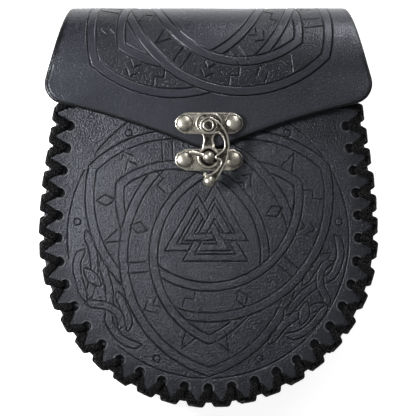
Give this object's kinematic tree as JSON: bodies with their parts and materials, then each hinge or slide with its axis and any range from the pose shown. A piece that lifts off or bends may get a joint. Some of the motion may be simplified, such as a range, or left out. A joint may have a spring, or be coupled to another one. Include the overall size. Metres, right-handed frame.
{
  "type": "belt pouch",
  "caption": "Round-bottomed black leather belt pouch with a fold-over flap, laced gusset, tooled knot ornament, back belt loops and a metal swing clasp.",
  "frame": {"origin": "on the surface that the pouch lies on, under the middle of its bounding box", "axes": "+X across the pouch, +Y up the pouch towards the fold, +Z out of its front"},
  "size_m": [0.1498, 0.1758, 0.0545],
  "materials": {
    "black_leather": "satin, fine grain, tooled lines",
    "black_lace": "flat waxed braid",
    "antique_nickel": "antiqued, dark in the recesses"
  },
  "bodies": {
    "pouch": {"back_and_flap": "black_leather", "front_panel": "black_leather", "gusset": "black_leather", "front_lace_first": "black_lace", "front_lace_return": "black_lace", "back_lace_first": "black_lace", "back_lace_return": "black_lace", "belt_loop_left": "black_leather", "belt_loop_right": "black_leather", "upper_plate": "antique_nickel", "lower_plate": "antique_nickel", "pivot_rivet": "antique_nickel", "upper_rivet_left": "antique_nickel", "upper_rivet_right": "antique_nickel", "lower_rivet_left": "antique_nickel", "lower_rivet_right": "antique_nickel"},
    "hook": {"swing_hook": "antique_nickel"}
  },
  "joints": [
    {"name": "hook_swing", "type": "hinge", "parent": "pouch", "child": "hook", "pos_m": [0.0001, 0.03645, 0.0519], "axis": [0, 0, 1], "range_deg": [0, 100]}
  ]
}
